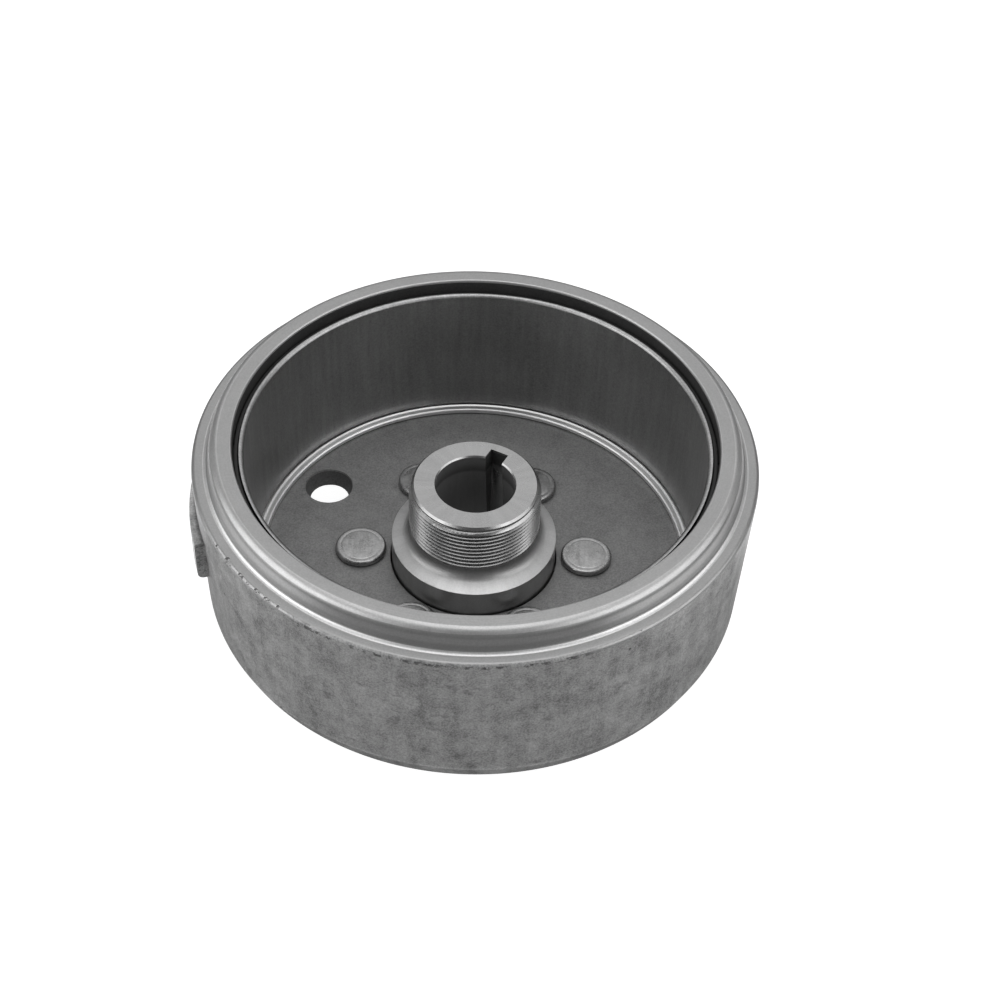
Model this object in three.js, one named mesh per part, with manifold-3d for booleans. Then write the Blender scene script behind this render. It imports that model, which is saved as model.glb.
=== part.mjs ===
// Magneto flywheel (rotor) of a small engine.
// A forged steel drum carries permanent magnets on its inside wall behind a thin steel sleeve.
// A machined hub with a tapered bore, a keyway and a puller thread stands in the middle of the
// drum, and rivets hold the hub's rear flange to the drum's floor.
//
// Millimetres. +Z is the rotation axis and points out of the open side of the drum.
// The origin is on the axis, in the plane of the hub's rear face.

import * as THREE from "three";
import { mergeVertices } from "three/addons/utils/BufferGeometryUtils.js";
import Module from "manifold-3d";

const wasm = await Module();
wasm.setup();

// ---- Fits --------------------------------------------------------------------------------
const FIT_GAP = 0.3; // left between any two pieces that seat on or in each other

// ---- Drum --------------------------------------------------------------------------------
const DRUM_RADIUS = 56.2; // largest radius, just under the ledge
const DRUM_HEIGHT = 40; // underside to rim face
const DRUM_WALL = 4.9; // thickness of the wall behind the magnets
const DRUM_DRAFT = 1; // how much the forged wall narrows towards the floor
const FLOOR_THICKNESS = 5.1;
const BASE_CHAMFER_HEIGHT = 3.9; // steep turned chamfer round the bottom of the wall
const BASE_CHAMFER_DEPTH = 1.6;
const BASE_CORNER = 0.8;
const LEDGE_WIDTH = 3; // flat step outside the spigot
const LEDGE_EDGE = 0.9; // rounding of the step's outer edge
const SPIGOT_HEIGHT = 4.6; // rim face down to the step
const SPIGOT_TAPER = 1; // how much the spigot narrows towards the rim face
const SPIGOT_FILLET = 0.9;
const RIM_ROUND = 1.6; // outer edge of the rim face
const RIM_CHAMFER = 0.4; // inner edge of the rim face
const RIM_THICKNESS = 4; // depth of the inward lip over the magnets
const RIM_CLEARANCE = 1.2; // between that lip's bore and the sleeve's belled mouth
const BALANCE_HOLE_RADIUS = 5.15;
const BALANCE_HOLE_MARGIN = 1.5; // floor left between the hole and the seat ring
const BALANCE_HOLE_ANGLE = 150; // degrees from +X

// ---- Trigger lug on the drum's outside ---------------------------------------------------
const LUG_PROUD = 1.7; // at its end; it rises out of the wall from its start
const LUG_HEIGHT = 9;
const LUG_DROP = 13; // rim face down to the top of the lug
const LUG_START = 160; // degrees from +X
const LUG_END = 202.5;
const LUG_ROOT = 2.4; // how deep the lug's solid is sunk into the wall
const LUG_STEPS = 20; // flats along the lug

// ---- Magnets, separators and sleeve -------------------------------------------------------
const MAGNET_COUNT = 6;
const MAGNET_THICKNESS = 4.4;
const SEPARATOR_WIDTH = 3;
const COVER_SHEET = 0.5;
const COVER_LIP_FLARE = 0.5; // how far the sleeve's mouth is belled outwards
const COVER_LIP_HEIGHT = 1.1;
const COVER_LIP_DROP = 2.5; // rim face down to the sleeve's mouth
const SEAT_THICKNESS = 0.9; // foot of the seat ring, under the magnets
const SEAT_UPSTAND = 1.5; // height of the seat ring's visible bead over the floor
const SEAT_BEAD_WIDTH = 1.75;
const SEAT_CHAMFER = 0.25;
const SEAL_HEIGHT = 1; // resin fillet between the sleeve's mouth and the rim

// ---- Hub -----------------------------------------------------------------------------------
const BORE_RADIUS = 8; // small end, at the front face
const BORE_TAPER = 0.1; // radius gained for each millimetre towards the rear
const BORE_CHAMFER = 0.3;
const KEYWAY_WIDTH = 3.9;
const KEYWAY_DEPTH = 2.6; // from the bore's wall
const KEYWAY_ANGLE = 64; // degrees from +X
const HUB_WALL = 2.9; // bottom of the keyway to the thread's crest, at the front face
const THREAD_PITCH = 1; // an M27 x 1 puller thread
const THREAD_TURNS = 10;
const THREAD_DEPTH = 0.61;
const FACE_CHAMFER = 0.4;
const NECK_RELIEF = 0.9; // how far the neck is turned down below the thread's crest
const NECK_FILLET = 4.2;
const COLLAR_LAND = 0.3; // flat left round the neck fillet
const COLLAR_HEIGHT = 6; // over the drum's floor
const FLANGE_THICKNESS = 4.5;
const FLANGE_MARGIN = 2.55; // flange left outside the rivet tails
const REAR_BOSS_WALL = 5.8; // metal round the bore's large end
const REAR_BOSS_HEIGHT = 1.5;
const EDGE_BREAK = 0.5; // chamfer on the flange and boss edges

// ---- Rivets --------------------------------------------------------------------------------
const RIVET_COUNT = 6;
const RIVET_CLEARANCE = 1.25; // between the heads and the hub's collar
const RIVET_HEAD_RADIUS = 5.3;
const RIVET_HEAD_HEIGHT = 1.5; // over the drum's floor
const RIVET_HEAD_ROUND = 0.5;
const RIVET_SHANK_RADIUS = 3.2;
const RIVET_TAIL_RADIUS = 4.8; // closed into a countersink, level with the flange
const RIVET_TAIL_DEPTH = 1.6;

// ---- Facets --------------------------------------------------------------------------------
const DRUM_SEGMENTS = 60;
const HUB_SEGMENTS = 40;
const SMALL_SEGMENTS = 16;
const ARC_STEPS = 3;
const CUT_OVERRUN = 1; // how far a cutting solid passes the face that it cuts

// ---- Sizes that follow ---------------------------------------------------------------------
const flangeTop = REAR_BOSS_HEIGHT + FLANGE_THICKNESS;
const drumBase = flangeTop + FIT_GAP;
const floorTop = drumBase + FLOOR_THICKNESS;
const rimTop = drumBase + DRUM_HEIGHT;
const ledgeTop = rimTop - SPIGOT_HEIGHT;
const spigotBaseRadius = DRUM_RADIUS - LEDGE_WIDTH;
const spigotTopRadius = spigotBaseRadius - SPIGOT_TAPER;
const pocketRadius = DRUM_RADIUS - DRUM_WALL;
const pocketTop = rimTop - RIM_THICKNESS;
const magnetOuter = pocketRadius - FIT_GAP;
const magnetInner = magnetOuter - MAGNET_THICKNESS;
const magnetBase = floorTop + FIT_GAP + SEAT_THICKNESS + FIT_GAP;
const magnetTop = pocketTop - FIT_GAP;
const coverOuter = magnetInner - FIT_GAP;
const coverInner = coverOuter - COVER_SHEET;
const coverTop = rimTop - COVER_LIP_DROP;
const rimBoreRadius = coverOuter + COVER_LIP_FLARE + RIM_CLEARANCE;
const beadOuter = coverInner - FIT_GAP;
const beadInner = beadOuter - SEAT_BEAD_WIDTH;
const balanceHolePitch = beadInner - BALANCE_HOLE_MARGIN - BALANCE_HOLE_RADIUS;
const neckTop = floorTop + COLLAR_HEIGHT + NECK_FILLET;
const hubHeight = neckTop + THREAD_TURNS * THREAD_PITCH + FACE_CHAMFER;
const threadRadius = BORE_RADIUS + KEYWAY_DEPTH + HUB_WALL;
const neckRadius = threadRadius - NECK_RELIEF;
const collarRadius = neckRadius + NECK_FILLET + COLLAR_LAND;
const collarHoleRadius = collarRadius + FIT_GAP;
const rearBossRadius = BORE_RADIUS + hubHeight * BORE_TAPER + REAR_BOSS_WALL;
const widestMiddle = Math.max(collarRadius, rearBossRadius);
const rivetPitchRadius = widestMiddle + RIVET_CLEARANCE + RIVET_HEAD_RADIUS;
const rivetHoleRadius = RIVET_SHANK_RADIUS + FIT_GAP;
const flangeRadius = rivetPitchRadius + RIVET_TAIL_RADIUS + FLANGE_MARGIN;
const degrees = THREE.MathUtils.degToRad;

// ---- Materials -----------------------------------------------------------------------------
const steel = (color, roughness) =>
  new THREE.MeshStandardMaterial({ color, roughness, metalness: 1 });
const FORGED_STEEL = steel(0x8c8c8c, 0.55);
const TURNED_STEEL = steel(0xc4c4c4, 0.25);
const RIVET_STEEL = steel(0xa8a8a8, 0.4);
const SLEEVE_STEEL = steel(0x6c6c6c, 0.4);
const SEAT_METAL = steel(0xb8b8b8, 0.3);
const MAGNET_METAL = steel(0x4c4c4e, 0.6);
const DARK_RESIN = new THREE.MeshStandardMaterial({
  color: 0x1c1c1c,
  roughness: 0.7,
  metalness: 0,
});

// ---- Helpers -------------------------------------------------------------------------------

// Points on a circular arc in a profile's plane, both ends included.
function arc(centreR, centreZ, radius, from, to, steps = ARC_STEPS) {
  return Array.from({ length: steps + 1 }, (_, i) => {
    const a = degrees(from + ((to - from) * i) / steps);
    return [centreR + radius * Math.cos(a), centreZ + radius * Math.sin(a)];
  });
}

// A profile of [radius, height] points, counter-clockwise with radius to the right, turned
// about Z. A profile that doesn't start on the axis is closed on itself.
function turned(profile, segments) {
  const closed = profile[0][0] > 0 ? [...profile, profile[0]] : profile;
  const points = closed.map(([r, z]) => new THREE.Vector2(r, z));
  return new THREE.LatheGeometry(points, segments).rotateX(Math.PI / 2);
}

// A flat outline raised along Z from one height to another.
function raised(outline, from, to, steps = 1) {
  const options = { depth: to - from, bevelEnabled: false, curveSegments: steps };
  return new THREE.ExtrudeGeometry(outline, options).translate(0, 0, from);
}

// The outline of a ring's sector, between two radii and two angles in degrees.
function sector(inner, outer, start, end) {
  const outline = new THREE.Shape();
  outline.absarc(0, 0, outer, degrees(start), degrees(end), false);
  outline.absarc(0, 0, inner, degrees(end), degrees(start), true);
  return outline.closePath();
}

// A straight-sided bar's outline, along the radius at an angle in degrees.
function bar(inner, outer, width, angle) {
  const corners = [
    [inner, -width / 2],
    [outer, -width / 2],
    [outer, width / 2],
    [inner, width / 2],
  ];
  const turn = degrees(angle);
  const centre = new THREE.Vector2();
  return new THREE.Shape(
    corners.map(([x, y]) => new THREE.Vector2(x, y).rotateAround(centre, turn)),
  );
}

function solid(geometry) {
  const bare = geometry.clone();
  bare.deleteAttribute("normal");
  bare.deleteAttribute("uv");
  const merged = mergeVertices(bare);
  const vertProperties = new Float32Array(merged.attributes.position.array);
  const triVerts = new Uint32Array(merged.index.array);
  const mesh = new wasm.Mesh({ numProp: 3, vertProperties, triVerts });
  return new wasm.Manifold(mesh);
}

function geometryOf(body) {
  const mesh = body.getMesh();
  const indexed = new THREE.BufferGeometry();
  const positions = new THREE.BufferAttribute(mesh.vertProperties, mesh.numProp);
  indexed.setAttribute("position", positions);
  indexed.setIndex(new THREE.BufferAttribute(mesh.triVerts, 1));
  const flat = indexed.toNonIndexed();
  flat.computeVertexNormals();
  return flat;
}

// A copy of a turned shape with its axis at a radius and an angle in degrees from the Z axis.
function placed(geometry, radius, angle) {
  const a = degrees(angle);
  return geometry.clone().translate(radius * Math.cos(a), radius * Math.sin(a), 0);
}

const evenly = (count, step = 360 / count) =>
  Array.from({ length: count }, (_, i) => i * step);
const rivetAngles = evenly(RIVET_COUNT);
const magnetAngles = evenly(MAGNET_COUNT);

// ---- Drum ----------------------------------------------------------------------------------

function drumProfile() {
  const wallFoot = DRUM_RADIUS - DRUM_DRAFT;
  const baseRadius = wallFoot - BASE_CHAMFER_DEPTH;
  const corner = BASE_CORNER;
  const edge = LEDGE_EDGE;
  const fillet = SPIGOT_FILLET;
  return [
    [collarHoleRadius, drumBase],
    ...arc(baseRadius - corner, drumBase + corner, corner, -90, 0),
    [wallFoot, drumBase + BASE_CHAMFER_HEIGHT],
    ...arc(DRUM_RADIUS - edge, ledgeTop - edge, edge, 0, 90),
    ...arc(spigotBaseRadius + fillet, ledgeTop + fillet, fillet, 270, 180),
    ...arc(spigotTopRadius - RIM_ROUND, rimTop - RIM_ROUND, RIM_ROUND, 0, 90),
    [rimBoreRadius + RIM_CHAMFER, rimTop],
    [rimBoreRadius, rimTop - RIM_CHAMFER],
    [rimBoreRadius, pocketTop],
    [pocketRadius, pocketTop],
    [pocketRadius, floorTop],
    [collarHoleRadius, floorTop],
  ];
}

// The lug's outer face climbs evenly out of the drafted wall and ends in a square step.
function lug() {
  const from = DRUM_RADIUS - DRUM_DRAFT / 2;
  const rise = DRUM_RADIUS + LUG_PROUD - from;
  const outline = new THREE.Shape();
  outline.absarc(0, 0, DRUM_RADIUS - LUG_ROOT, degrees(LUG_END), degrees(LUG_START), true);
  for (let i = 0; i <= LUG_STEPS; i += 1) {
    const share = i / LUG_STEPS;
    const a = degrees(LUG_START + share * (LUG_END - LUG_START));
    const radius = from + share * rise;
    outline.lineTo(radius * Math.cos(a), radius * Math.sin(a));
  }
  const top = rimTop - LUG_DROP;
  return raised(outline.closePath(), top - LUG_HEIGHT, top, LUG_STEPS);
}

// A round cutter through the drum's floor.
function floorCutter(radius, segments) {
  const from = drumBase - CUT_OVERRUN;
  const to = floorTop + CUT_OVERRUN;
  return turned([[0, from], [radius, from], [radius, to], [0, to]], segments);
}

function drum() {
  const rivetHole = floorCutter(rivetHoleRadius, SMALL_SEGMENTS);
  const balanceHole = floorCutter(BALANCE_HOLE_RADIUS, 2 * SMALL_SEGMENTS);
  let body = solid(turned(drumProfile(), DRUM_SEGMENTS)).add(solid(lug()));
  for (const angle of rivetAngles) {
    body = body.subtract(solid(placed(rivetHole, rivetPitchRadius, angle)));
  }
  const hole = placed(balanceHole, balanceHolePitch, BALANCE_HOLE_ANGLE);
  return geometryOf(body.subtract(solid(hole)));
}

// ---- Hub -----------------------------------------------------------------------------------

const boreRadiusAt = (z) => BORE_RADIUS + (hubHeight - z) * BORE_TAPER;

// Crests and roots of the puller thread, from the neck up to the front face.
function threadProfile() {
  const root = threadRadius - THREAD_DEPTH;
  const firstCrest = hubHeight - FACE_CHAMFER - THREAD_PITCH / 2;
  const turns = evenly(THREAD_TURNS, THREAD_PITCH).reverse();
  return turns.flatMap((drop) => [
    [threadRadius, firstCrest - drop],
    [root, firstCrest - drop + THREAD_PITCH / 2],
  ]);
}

function hubProfile() {
  const collarTop = floorTop + COLLAR_HEIGHT;
  const filletCentre = neckRadius + NECK_FILLET;
  const faceEdge = threadRadius - THREAD_DEPTH - FACE_CHAMFER;
  return [
    [boreRadiusAt(0) + BORE_CHAMFER, 0],
    [rearBossRadius - EDGE_BREAK, 0],
    [rearBossRadius, EDGE_BREAK],
    [rearBossRadius, REAR_BOSS_HEIGHT],
    [flangeRadius - EDGE_BREAK, REAR_BOSS_HEIGHT],
    [flangeRadius, REAR_BOSS_HEIGHT + EDGE_BREAK],
    [flangeRadius, flangeTop - EDGE_BREAK],
    [flangeRadius - EDGE_BREAK, flangeTop],
    [collarRadius, flangeTop],
    [collarRadius, collarTop],
    ...arc(filletCentre, neckTop, NECK_FILLET, 270, 180, 2 * ARC_STEPS),
    ...threadProfile(),
    [faceEdge, hubHeight],
    [boreRadiusAt(hubHeight) + BORE_CHAMFER, hubHeight],
    [boreRadiusAt(hubHeight - BORE_CHAMFER), hubHeight - BORE_CHAMFER],
    [boreRadiusAt(BORE_CHAMFER), BORE_CHAMFER],
  ];
}

// The keyway's cutter follows the slope of the bore from end to end.
function keywayCutter() {
  const run = hubHeight + 2 * CUT_OVERRUN;
  const floorAtFront = boreRadiusAt(hubHeight + CUT_OVERRUN) + KEYWAY_DEPTH;
  const outline = bar(0, floorAtFront, KEYWAY_WIDTH, 0);
  const cutter = raised(outline, -CUT_OVERRUN, run - CUT_OVERRUN);
  const lean = new THREE.Matrix4().makeShear(0, 0, 0, 0, -BORE_TAPER, 0);
  const shift = (hubHeight + CUT_OVERRUN) * BORE_TAPER;
  return cutter.applyMatrix4(lean).translate(shift, 0, 0).rotateZ(degrees(KEYWAY_ANGLE));
}

// A rivet hole through the flange, with a countersink in its rear face.
function flangeRivetCutter() {
  const rear = REAR_BOSS_HEIGHT;
  const mouth = RIVET_TAIL_RADIUS + FIT_GAP;
  const top = flangeTop + CUT_OVERRUN;
  return turned(
    [
      [0, rear - CUT_OVERRUN],
      [mouth, rear - CUT_OVERRUN],
      [mouth, rear],
      [rivetHoleRadius, rear + RIVET_TAIL_DEPTH],
      [rivetHoleRadius, top],
      [0, top],
    ],
    SMALL_SEGMENTS,
  );
}

function hub() {
  const rivetHole = flangeRivetCutter();
  let body = solid(turned(hubProfile(), HUB_SEGMENTS)).subtract(solid(keywayCutter()));
  for (const angle of rivetAngles) {
    body = body.subtract(solid(placed(rivetHole, rivetPitchRadius, angle)));
  }
  return geometryOf(body);
}

// ---- Rivets --------------------------------------------------------------------------------

function rivet(angle) {
  const headTop = floorTop + RIVET_HEAD_HEIGHT;
  const seat = floorTop + FIT_GAP;
  const round = RIVET_HEAD_ROUND;
  const profile = [
    [0, REAR_BOSS_HEIGHT],
    [RIVET_TAIL_RADIUS, REAR_BOSS_HEIGHT],
    [RIVET_SHANK_RADIUS, REAR_BOSS_HEIGHT + RIVET_TAIL_DEPTH],
    [RIVET_SHANK_RADIUS, seat],
    [RIVET_HEAD_RADIUS, seat],
    ...arc(RIVET_HEAD_RADIUS - round, headTop - round, round, 0, 90, 2),
    [0, headTop],
  ];
  return placed(turned(profile, SMALL_SEGMENTS), rivetPitchRadius, angle);
}

// ---- Magnets, separators, sleeve and rings -------------------------------------------------

function magnet(angle) {
  const halfBar = SEPARATOR_WIDTH / 2 + FIT_GAP;
  const from = angle + THREE.MathUtils.radToDeg(Math.asin(halfBar / magnetInner));
  const to = 2 * angle + 360 / MAGNET_COUNT - from;
  return raised(sector(magnetInner, magnetOuter, from, to), magnetBase, magnetTop, 8);
}

function separator(angle) {
  return raised(bar(magnetInner, magnetOuter, SEPARATOR_WIDTH, angle), magnetBase, magnetTop);
}

function cover() {
  const flare = COVER_LIP_FLARE;
  const bend = coverTop - COVER_LIP_HEIGHT;
  return turned(
    [
      [coverInner, magnetBase],
      [coverOuter, magnetBase],
      [coverOuter, bend],
      [coverOuter + flare, coverTop],
      [coverInner + flare, coverTop],
      [coverInner, bend],
    ],
    DRUM_SEGMENTS,
  );
}

function seatRing() {
  const base = floorTop + FIT_GAP;
  const foot = base + SEAT_THICKNESS;
  const bead = floorTop + SEAT_UPSTAND;
  return turned(
    [
      [beadInner, base],
      [pocketRadius - FIT_GAP, base],
      [pocketRadius - FIT_GAP, foot],
      [beadOuter, foot],
      [beadOuter, bead - SEAT_CHAMFER],
      [beadOuter - SEAT_CHAMFER, bead],
      [beadInner + SEAT_CHAMFER, bead],
      [beadInner, bead - SEAT_CHAMFER],
    ],
    DRUM_SEGMENTS,
  );
}

function resinSeal() {
  const inner = coverOuter + FIT_GAP;
  const outer = rimBoreRadius - FIT_GAP;
  const bend = coverTop - COVER_LIP_HEIGHT;
  const top = pocketTop + SEAL_HEIGHT;
  const leaned = inner + (COVER_LIP_FLARE * (top - bend)) / COVER_LIP_HEIGHT + FIT_GAP / 2;
  return turned(
    [
      [inner, pocketTop],
      [outer, pocketTop],
      [outer, top],
      [leaned, top],
      [inner, bend],
    ],
    DRUM_SEGMENTS,
  );
}

// ---- Assembly ------------------------------------------------------------------------------

const group = new THREE.Group();

function addPiece(name, geometry, material) {
  const mesh = new THREE.Mesh(geometry, material);
  mesh.name = name;
  group.add(mesh);
}

addPiece("drum", drum(), FORGED_STEEL);
addPiece("hub", hub(), TURNED_STEEL);
addPiece("magnet_cover", cover(), SLEEVE_STEEL);
addPiece("seat_ring", seatRing(), SEAT_METAL);
addPiece("resin_seal", resinSeal(), DARK_RESIN);
rivetAngles.forEach((angle, i) => addPiece(`rivet_${i + 1}`, rivet(angle), RIVET_STEEL));
magnetAngles.forEach((angle, i) => {
  addPiece(`magnet_${i + 1}`, magnet(angle), MAGNET_METAL);
  addPiece(`separator_${i + 1}`, separator(angle), DARK_RESIN);
});

export default group;
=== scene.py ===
"""Magneto flywheel of a small engine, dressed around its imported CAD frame.

A forged steel drum with a turned spigot carries six magnets behind a thin steel sleeve. Six rivets
hold the flange of a turned hub to the drum's floor. The hub has a puller thread outside, and a
tapered bore with a keyway inside. Metres, +Z is the rotation axis and points out of the open side.
"""

import sys
import logging
import math
from dataclasses import dataclass, field
from enum import Enum
from typing import Any, Iterable, Sequence

import bmesh
import bpy
from mathutils import Matrix, Vector


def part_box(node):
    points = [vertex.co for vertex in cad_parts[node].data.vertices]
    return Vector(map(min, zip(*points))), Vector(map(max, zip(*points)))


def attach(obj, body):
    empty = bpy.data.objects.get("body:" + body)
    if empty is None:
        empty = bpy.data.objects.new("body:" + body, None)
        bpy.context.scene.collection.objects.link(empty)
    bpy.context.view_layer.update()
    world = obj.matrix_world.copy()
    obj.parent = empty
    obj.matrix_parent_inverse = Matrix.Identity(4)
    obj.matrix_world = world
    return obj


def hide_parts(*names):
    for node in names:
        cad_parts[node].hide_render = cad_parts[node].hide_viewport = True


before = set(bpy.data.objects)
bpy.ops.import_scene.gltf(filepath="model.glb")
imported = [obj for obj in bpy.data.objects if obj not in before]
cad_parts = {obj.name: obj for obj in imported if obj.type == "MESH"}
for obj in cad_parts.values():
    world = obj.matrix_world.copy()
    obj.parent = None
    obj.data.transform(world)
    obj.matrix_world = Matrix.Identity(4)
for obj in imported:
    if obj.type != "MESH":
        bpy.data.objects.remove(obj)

LOG = logging.getLogger("flywheel")
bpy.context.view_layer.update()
ROOT_BODY = "root"

MM = 0.001
FULL_TURN = 2 * math.pi
WELD = 1e-6  # vertices closer than this are one vertex
FIT_GAP = 0.3 * MM  # left between pieces that seat on each other
SHARP_ANGLE = math.radians(32)  # an edge bent more than this is shaded as a hard edge


# ---- Mesh work --------------------------------------------------------------------------------


class Fineness(Enum):
    """How many flats a full turn is made of."""

    LARGE = 288
    MEDIUM = 192
    SMALL = 72


@dataclass(frozen=True)
class Corner:
    """One corner of a turned piece's outline.

    Args:
        r: Distance from the axis.
        z: Height.
        round: Length that the rounding takes from each side; 0 keeps the corner sharp.
        steps: Flats in the rounding; 1 makes a chamfer.
    """

    r: float
    z: float
    round: float = 0.0
    steps: int = 4


def outline_face(corners: Sequence[Corner]) -> bmesh.types.BMesh:
    """Draws a closed outline as one face in the plane of the axis and rounds its corners.

    Args:
        corners: The outline's corners in order.

    Returns:
        A bmesh that holds the one face.
    """
    mesh = bmesh.new()
    spots = [mesh.verts.new((c.r, 0, c.z)) for c in corners]
    mesh.faces.new(spots)
    for corner, spot in zip(corners, list(spots)):
        if corner.round:
            bmesh.ops.bevel(
                mesh,
                geom=[spot],
                offset=corner.round,
                offset_type="OFFSET",
                segments=corner.steps,
                profile=0.5,
                affect="VERTICES",
                material=-1,
            )
    return mesh


def turned(corners: Sequence[Corner], fineness: Fineness) -> bmesh.types.BMesh:
    """Turns a closed outline once round the Z axis.

    Args:
        corners: The outline's corners in order; it may run along the axis.
        fineness: Flats in the full turn.

    Returns:
        A closed bmesh with its faces pointing out.
    """
    mesh = outline_face(corners)
    bmesh.ops.delete(mesh, geom=mesh.faces[:], context="FACES_ONLY")
    on_axis = [e for e in mesh.edges if all(abs(v.co.x) < WELD for v in e.verts)]
    bmesh.ops.delete(mesh, geom=on_axis, context="EDGES")
    bmesh.ops.spin(
        mesh,
        geom=mesh.verts[:] + mesh.edges[:],
        cent=(0, 0, 0),
        axis=(0, 0, 1),
        angle=FULL_TURN,
        steps=fineness.value,
        use_merge=True,
    )
    return closed(mesh)


def swept(
    corners: Sequence[Corner], start: float, end: float, fineness: Fineness
) -> bmesh.types.BMesh:
    """Sweeps an outline round part of a turn and closes both ends.

    Args:
        corners: The outline's corners in order.
        start: First angle in radians.
        end: Last angle in radians.
        fineness: Flats in a full turn.

    Returns:
        A closed bmesh with its faces pointing out.
    """
    mesh = outline_face(corners)
    bmesh.ops.rotate(mesh, verts=mesh.verts[:], matrix=Matrix.Rotation(start, 3, "Z"))
    steps = max(2, round(fineness.value * (end - start) / FULL_TURN))
    bmesh.ops.spin(
        mesh,
        geom=mesh.verts[:] + mesh.edges[:] + mesh.faces[:],
        cent=(0, 0, 0),
        axis=(0, 0, 1),
        angle=end - start,
        steps=steps,
    )
    return closed(mesh)


def closed(mesh: bmesh.types.BMesh) -> bmesh.types.BMesh:
    """Welds a mesh's doubles and turns its faces outwards."""
    bmesh.ops.remove_doubles(mesh, verts=mesh.verts[:], dist=WELD)
    bmesh.ops.dissolve_degenerate(mesh, edges=mesh.edges[:], dist=WELD / 10)
    bmesh.ops.recalc_face_normals(mesh, faces=mesh.faces[:])
    return mesh


def bevelled(
    mesh: bmesh.types.BMesh, edges: Iterable[bmesh.types.BMEdge], size: float, steps: int = 2
) -> bmesh.types.BMesh:
    """Rounds some edges of a mesh by a bevel of a given size."""
    bmesh.ops.bevel(
        mesh,
        geom=list(edges),
        offset=size,
        offset_type="OFFSET",
        segments=steps,
        profile=0.5,
        affect="EDGES",
        material=-1,
        clamp_overlap=True,
    )
    return mesh


def sharp_edges(mesh: bmesh.types.BMesh, angle: float = SHARP_ANGLE) -> list[bmesh.types.BMEdge]:
    """The edges where a mesh bends by more than an angle."""
    return [e for e in mesh.edges if e.calc_face_angle(0) > angle]


def block(low: Vector, high: Vector) -> bmesh.types.BMesh:
    """A box between two corners."""
    mesh = bmesh.new()
    bmesh.ops.create_cube(mesh, size=1)
    middle = (low + high) / 2
    bmesh.ops.scale(mesh, vec=high - low, verts=mesh.verts[:])
    bmesh.ops.translate(mesh, vec=middle, verts=mesh.verts[:])
    return mesh


def polar(radius: float, angle: float) -> Vector:
    """A point at a distance and an angle from the axis, in the plane z = 0."""
    return Vector((radius * math.cos(angle), radius * math.sin(angle), 0))


def copies(mesh: bmesh.types.BMesh, places: Iterable[Vector]) -> bmesh.types.BMesh:
    """Repeats a mesh at each of some places, in one mesh."""
    source = bpy.data.meshes.new("copy_source")
    mesh.to_mesh(source)
    result = bmesh.new()
    for place in places:
        before = set(result.verts)
        result.from_mesh(source)
        added = [v for v in result.verts if v not in before]
        bmesh.ops.translate(result, vec=place, verts=added)
    mesh.free()
    bpy.data.meshes.remove(source)
    return result


def combined(
    base: bmesh.types.BMesh, tool: bmesh.types.BMesh, operation: str
) -> bmesh.types.BMesh:
    """Joins, cuts or intersects two closed meshes.

    Args:
        base: The mesh that is kept or cut.
        tool: The mesh that is added, taken away or intersected.
        operation: UNION, DIFFERENCE or INTERSECT.

    Returns:
        The resulting closed bmesh; both inputs are freed.
    """
    objects = []
    for label, mesh in (("base", base), ("tool", tool)):
        data = bpy.data.meshes.new(f"boolean_{label}")
        mesh.to_mesh(data)
        mesh.free()
        item = bpy.data.objects.new(f"boolean_{label}", data)
        bpy.context.scene.collection.objects.link(item)
        objects.append(item)
    modifier = objects[0].modifiers.new("boolean", "BOOLEAN")
    modifier.operation = operation
    modifier.object = objects[1]
    modifier.solver = "MANIFOLD"
    bpy.context.view_layer.update()
    evaluated = objects[0].evaluated_get(bpy.context.evaluated_depsgraph_get())
    result = bmesh.new()
    result.from_mesh(evaluated.to_mesh())
    evaluated.to_mesh_clear()
    for item in objects:
        data = item.data
        bpy.data.objects.remove(item)
        bpy.data.meshes.remove(data)
    bmesh.ops.remove_doubles(result, verts=result.verts[:], dist=WELD)
    bmesh.ops.dissolve_degenerate(result, edges=result.edges[:], dist=WELD)
    return result


def piece(
    name: str, mesh: bmesh.types.BMesh, material: bpy.types.Material, slot: str, *nodes: str
) -> bpy.types.Object:
    """Makes a finished object of a mesh and ties it to the frame.

    Args:
        name: The object's name.
        mesh: Its mesh, in place; it is freed.
        material: Its material.
        slot: The record's material slot that the finish comes from; not used.
        *nodes: The CAD nodes that the object stands for.

    Returns:
        The new object.
    """
    for face in mesh.faces:
        face.smooth = True
    for edge in mesh.edges:
        edge.smooth = edge.calc_face_angle(0) < SHARP_ANGLE
    open_edges = sum(1 for e in mesh.edges if not e.is_manifold)
    data = bpy.data.meshes.new(name)
    mesh.to_mesh(data)
    mesh.free()
    data.materials.append(material)
    item = bpy.data.objects.new(name, data)
    bpy.context.scene.collection.objects.link(item)
    weighted = item.modifiers.new("weighted_normals", "WEIGHTED_NORMAL")
    weighted.keep_sharp = True
    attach(item, ROOT_BODY)
    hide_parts(*nodes)
    LOG.info("%s: %d faces, %d open edges", name, len(data.polygons), open_edges)
    return item


# ---- Shader work ------------------------------------------------------------------------------

MIX_FACTOR, MIX_FIRST, MIX_SECOND, MIX_RESULT = 0, 6, 7, 2  # a colour Mix node's sockets


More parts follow.
